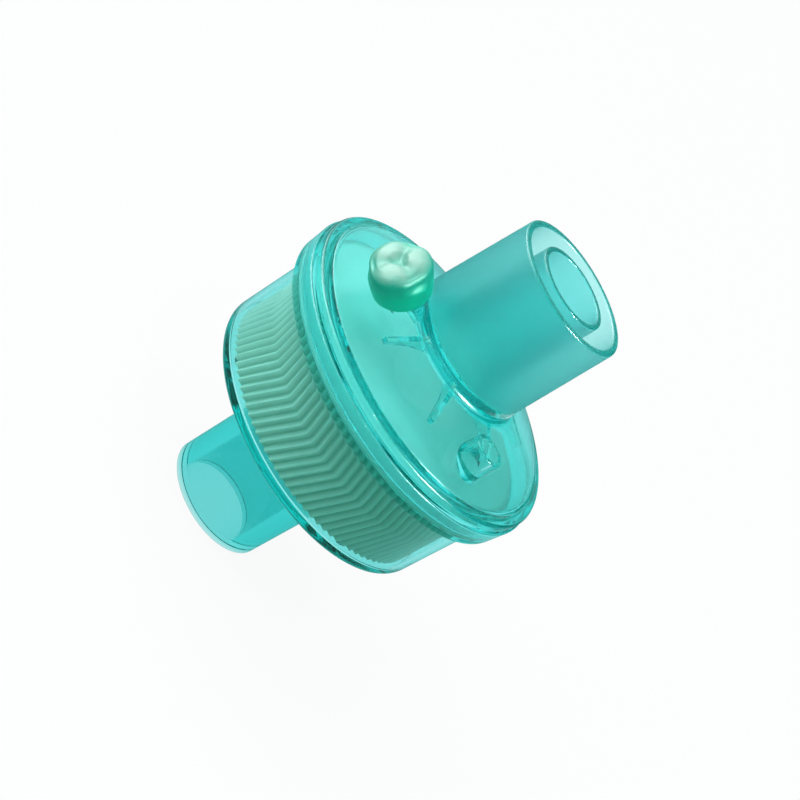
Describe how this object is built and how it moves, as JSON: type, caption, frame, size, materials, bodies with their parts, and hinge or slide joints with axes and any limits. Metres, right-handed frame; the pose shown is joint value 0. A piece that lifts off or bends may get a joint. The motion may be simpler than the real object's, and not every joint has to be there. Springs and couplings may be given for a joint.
{
  "type": "breathing circuit filter",
  "caption": "Clear plastic heat and moisture exchange filter with coaxial conical ports, a wound paper roll, a felt filter pad and a capped gas sampling spigot.",
  "frame": {"origin": "centre of the patient port's end face, which the filter stands on", "axes": "+Z along the gas path from the patient port up to the circuit port; the sampling spigot leans out over +X; the parking post stands near +Y"},
  "size_m": [0.0594, 0.0594, 0.0767],
  "materials": {
    "clear_shell": "clear aqua tinted moulding, polished",
    "roll_paper": "pale matt creased paper",
    "pad_felt": "pale aqua non-woven felt",
    "cap_plastic": "soft translucent green plastic"
  },
  "bodies": {
    "filter": {"patient_housing": "clear_shell", "circuit_housing": "clear_shell", "hme_roll": "roll_paper", "filter_pad": "pad_felt"},
    "cap": {"luer_cap": "cap_plastic"}
  },
  "joints": [
    {"name": "cap_pull", "type": "slide", "parent": "filter", "child": "cap", "axis": [0.8339, 0, 0.5519], "range_m": [0, 0.012]}
  ]
}
